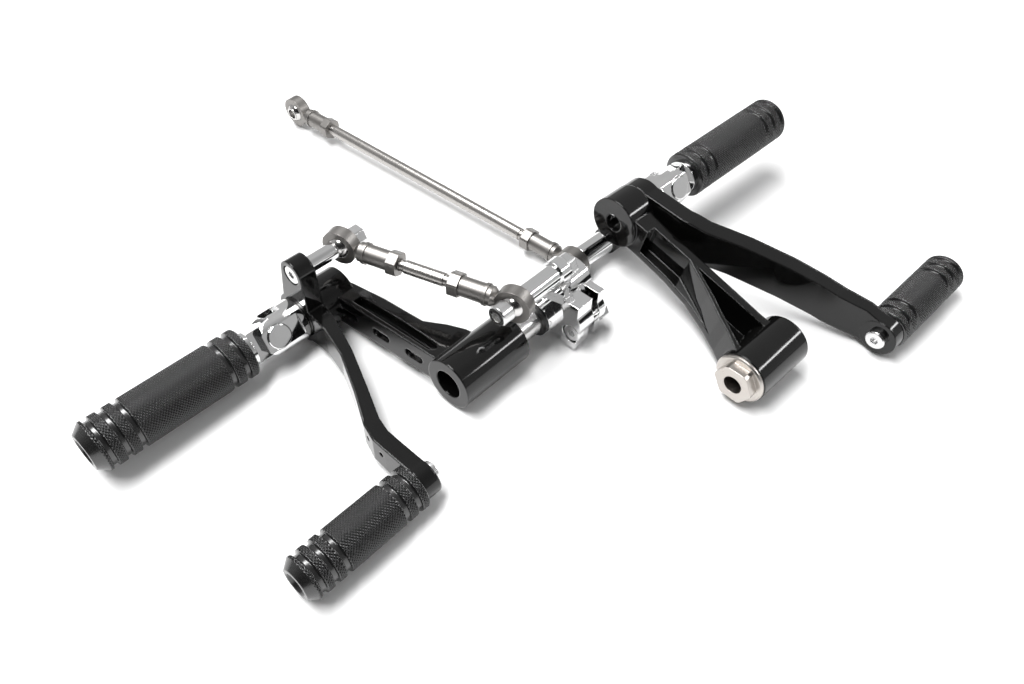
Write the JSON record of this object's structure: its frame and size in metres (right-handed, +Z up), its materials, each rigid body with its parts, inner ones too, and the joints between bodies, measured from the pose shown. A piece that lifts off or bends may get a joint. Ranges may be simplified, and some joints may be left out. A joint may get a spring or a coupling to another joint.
{
  "type": "motorcycle forward foot controls",
  "caption": "Rider foot controls for a motorcycle: folding knurled foot pegs on clevises, brake pedal with linkage and bell crank, and shift lever with long adjustable rod",
  "frame": {"origin": "middle of the set in plan, on the flat surface it is laid on", "axes": "+X forward on the motorcycle, +Y to the rider's left, which is the shift side, +Z up"},
  "size_m": [0.5046, 0.5268, 0.0692],
  "materials": {
    "gloss_black": "gloss black paint",
    "anodised_black_knurl": "satin black anodised, knurled",
    "polished_chrome": "polished chrome",
    "bronze": "plain bronze",
    "nickel_plate": "satin nickel plate",
    "satin_stainless": "satin stainless steel",
    "polished_steel": "ground and polished steel",
    "zinc_steel": "bright zinc plate",
    "blackened_steel": "oil blackened spring steel"
  },
  "bodies": {
    "brackets": {"brake_bracket": "gloss_black", "brake_yoke": "polished_chrome", "brake_peg_pin": "polished_chrome", "brake_thrust_washer": "satin_stainless", "brake_cross_shaft": "satin_stainless", "bell_crank_circlip_outboard": "blackened_steel", "bell_crank_circlip_inboard": "blackened_steel", "shift_bracket": "gloss_black", "shift_flanged_nut": "nickel_plate", "shift_yoke": "polished_chrome", "shift_thrust_washer": "satin_stainless", "shift_peg_pin": "polished_chrome"},
    "brake_pedal": {"brake_pedal_lever": "gloss_black", "brake_pedal_bush": "bronze", "brake_toe_peg_sleeve": "anodised_black_knurl", "brake_toe_peg_screw": "zinc_steel", "brake_toe_peg_end_nut": "zinc_steel", "brake_arm_spacer": "polished_chrome", "brake_link_rear_ball": "polished_steel", "brake_arm_nut": "zinc_steel", "brake_arm_screw": "zinc_steel"},
    "bell_crank": {"bell_crank": "polished_chrome", "bell_crank_bush": "bronze", "bell_crank_spacer": "polished_chrome", "brake_link_front_ball": "polished_steel", "bell_crank_link_bolt": "zinc_steel", "bell_crank_link_nut": "zinc_steel", "push_rod_pin": "zinc_steel", "push_rod_pin_nut": "zinc_steel"},
    "brake_link": {"brake_link_rear_rod_end": "satin_stainless", "brake_link_front_rod_end": "satin_stainless", "brake_link_rod": "satin_stainless", "brake_link_rear_jam_nut": "satin_stainless", "brake_link_front_jam_nut": "satin_stainless"},
    "brake_foot_peg": {"brake_peg_core": "polished_chrome", "brake_peg_sleeve": "anodised_black_knurl", "brake_peg_end_screw": "zinc_steel"},
    "shift_foot_peg": {"shift_peg_core": "polished_chrome", "shift_peg_sleeve": "anodised_black_knurl", "shift_peg_end_screw": "zinc_steel"},
    "shift_lever": {"shift_lever": "gloss_black", "shift_lever_bush": "bronze", "shift_toe_peg_sleeve": "anodised_black_knurl", "shift_toe_peg_screw": "zinc_steel", "shift_toe_peg_end_nut": "zinc_steel", "shift_arm_spacer": "polished_chrome", "shift_link_front_ball": "polished_steel", "shift_arm_nut": "zinc_steel", "shift_arm_screw": "zinc_steel"},
    "shift_link": {"shift_link_front_rod_end": "satin_stainless", "shift_link_rear_rod_end": "satin_stainless", "shift_link_rod": "satin_stainless", "shift_link_front_jam_nut": "satin_stainless", "shift_link_rear_jam_nut": "satin_stainless"},
    "shift_link_free_ball": {"shift_link_rear_ball": "polished_steel"}
  },
  "joints": [
    {"name": "brake_pedal_pivot", "type": "hinge", "parent": "brackets", "child": "brake_pedal", "pos_m": [-0.03255, -0.10492, 0.01886], "axis": [-0.0662, 0.9972, -0.0349], "range_deg": [-15, 0]},
    {"name": "bell_crank_pivot", "type": "hinge", "parent": "brackets", "child": "bell_crank", "pos_m": [0.07205, 0.02226, 0.01587], "axis": [-0.0662, 0.9972, -0.0349], "range_deg": [-16, 0]},
    {"name": "brake_link_rear_pivot", "type": "hinge", "parent": "brake_pedal", "child": "brake_link", "pos_m": [-0.03129, -0.07191, 0.05708], "axis": [-0.0662, 0.9972, -0.0349], "range_deg": [0, 16]},
    {"name": "brake_peg_fold", "type": "hinge", "parent": "brackets", "child": "brake_foot_peg", "pos_m": [-0.03053, -0.13534, 0.01992], "axis": [-0.863, -0.0748, -0.4997], "range_deg": [0, 90]},
    {"name": "shift_peg_fold", "type": "hinge", "parent": "brackets", "child": "shift_foot_peg", "pos_m": [0.06775, 0.13588, 0.04705], "axis": [0.866, 0, 0.5], "range_deg": [0, 90]},
    {"name": "shift_lever_pivot", "type": "hinge", "parent": "brackets", "child": "shift_lever", "pos_m": [0.06775, 0.08058, 0.04705], "axis": [0, 1, 0], "range_deg": [-12, 0]},
    {"name": "shift_link_front_pivot", "type": "hinge", "parent": "shift_lever", "child": "shift_link", "pos_m": [0.05199, 0.05958, 0.01248], "axis": [0, 1, 0], "range_deg": [0, 12]},
    {"name": "shift_link_free_ball_swivel", "type": "hinge", "parent": "shift_link", "child": "shift_link_free_ball", "pos_m": [-0.23994, 0.02477, 0.01453], "axis": [-0.9929, -0.1184, 0.007], "range_deg": [-12, 12]}
  ],
  "couplings": [
    {"joint": "bell_crank_pivot", "follows": "brake_pedal_pivot", "ratio": 1.0286},
    {"joint": "brake_link_rear_pivot", "follows": "brake_pedal_pivot", "ratio": -0.9685},
    {"joint": "shift_link_front_pivot", "follows": "shift_lever_pivot", "ratio": -1}
  ]
}
